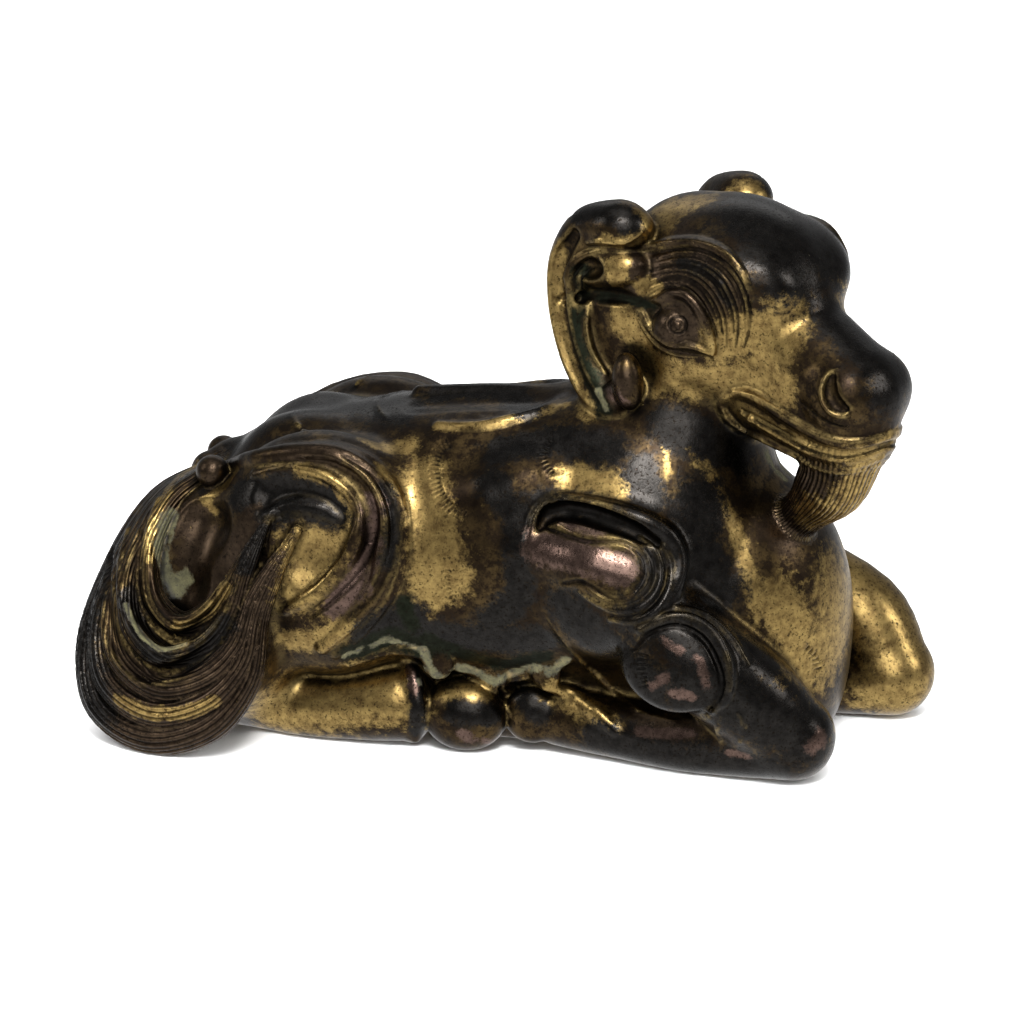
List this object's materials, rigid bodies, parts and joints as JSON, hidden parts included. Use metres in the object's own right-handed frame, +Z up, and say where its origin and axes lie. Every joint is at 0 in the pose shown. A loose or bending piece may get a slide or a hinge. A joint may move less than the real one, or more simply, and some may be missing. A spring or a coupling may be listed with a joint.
{
  "type": "gilt bronze mythical beast figure",
  "caption": "Recumbent horned mythical beast, cast in one piece in bronze and fire-gilt, with its head turned to the side.",
  "frame": {"origin": "on the flat underside, below the middle of the trunk", "axes": "+X towards the breast, +Y towards the beast's left, +Z up; the head is turned towards -Y"},
  "size_m": [0.1451, 0.0716, 0.0972],
  "materials": {
    "worn_gilt_bronze": "cast bronze, fire-gilt and worn to dark brown, with coppery rose bands, brown tail hair and pale green verdigris in the hollows"
  },
  "bodies": {
    "root": {"beast": "worn_gilt_bronze"}
  },
  "joints": []
}
